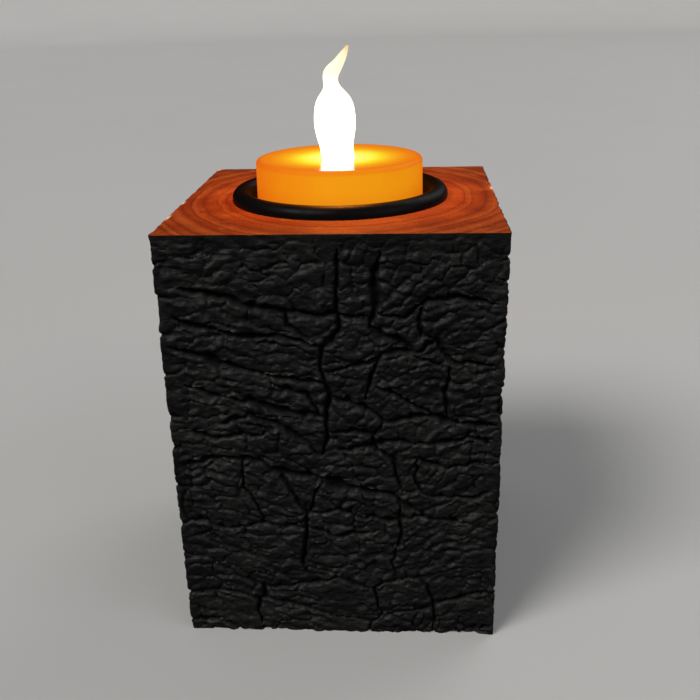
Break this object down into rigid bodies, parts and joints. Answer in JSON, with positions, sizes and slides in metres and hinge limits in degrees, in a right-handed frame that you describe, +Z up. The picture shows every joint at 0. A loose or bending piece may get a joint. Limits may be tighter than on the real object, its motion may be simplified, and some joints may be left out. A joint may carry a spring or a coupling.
{
  "type": "tealight holder",
  "caption": "Square charred-wood block with a rolled-rim black cup let into its end-grain top, holding a battery tealight with a flame-shaped lamp cover.",
  "frame": {"origin": "centre of the block's underside", "axes": "+Z up, front faces -Y, +X to the right of the front"},
  "size_m": [0.07, 0.07, 0.1264],
  "materials": {
    "charred_wood": "charred, crackled, matt",
    "end_grain": "sawn end grain, dry",
    "black_metal": "satin black",
    "amber_plastic": "translucent, satin",
    "flame_plastic": "translucent, satin",
    "lamp_resin": "clear resin",
    "base_plastic": "moulded, fine grained",
    "door_plastic": "moulded, fine grained",
    "switch_plastic": "moulded",
    "contact_metal": "nickel plated",
    "lead_metal": "tinned",
    "cell_steel": "satin",
    "cell_black": "pressed powder",
    "cell_grey": "soft, dull",
    "seal_plastic": "moulded",
    "screw_steel": "zinc plated"
  },
  "bodies": {
    "holder": {"wood_block": "charred_wood", "candle_cup": "black_metal"},
    "candle": {"candle_shell": "amber_plastic", "flame_tip": "flame_plastic", "led_lamp": "lamp_resin", "led_anode_lead": "lead_metal", "led_cathode_lead": "lead_metal", "candle_base": "base_plastic", "cell_can": "cell_steel", "cell_pellet": "cell_black", "cell_lithium": "cell_grey", "cell_seal": "seal_plastic", "cell_cap": "cell_steel", "positive_contact": "contact_metal", "negative_contact": "contact_metal", "lamp_terminal": "contact_metal", "base_screws": "screw_steel"},
    "switch": {"switch_slider": "switch_plastic", "switch_contact": "contact_metal"},
    "door": {"battery_door": "door_plastic"}
  },
  "joints": [
    {"name": "candle_lift", "type": "slide", "parent": "holder", "child": "candle", "axis": [0, 0, 1], "range_m": [0, 0.045]},
    {"name": "switch_slide", "type": "slide", "parent": "candle", "child": "switch", "axis": [0, 1, 0], "range_m": [0, 0.0026]},
    {"name": "battery_door_turn", "type": "hinge", "parent": "candle", "child": "door", "pos_m": [-0.0042, 0, 0.087], "axis": [0, 0, 1], "range_deg": [0, 40]}
  ]
}
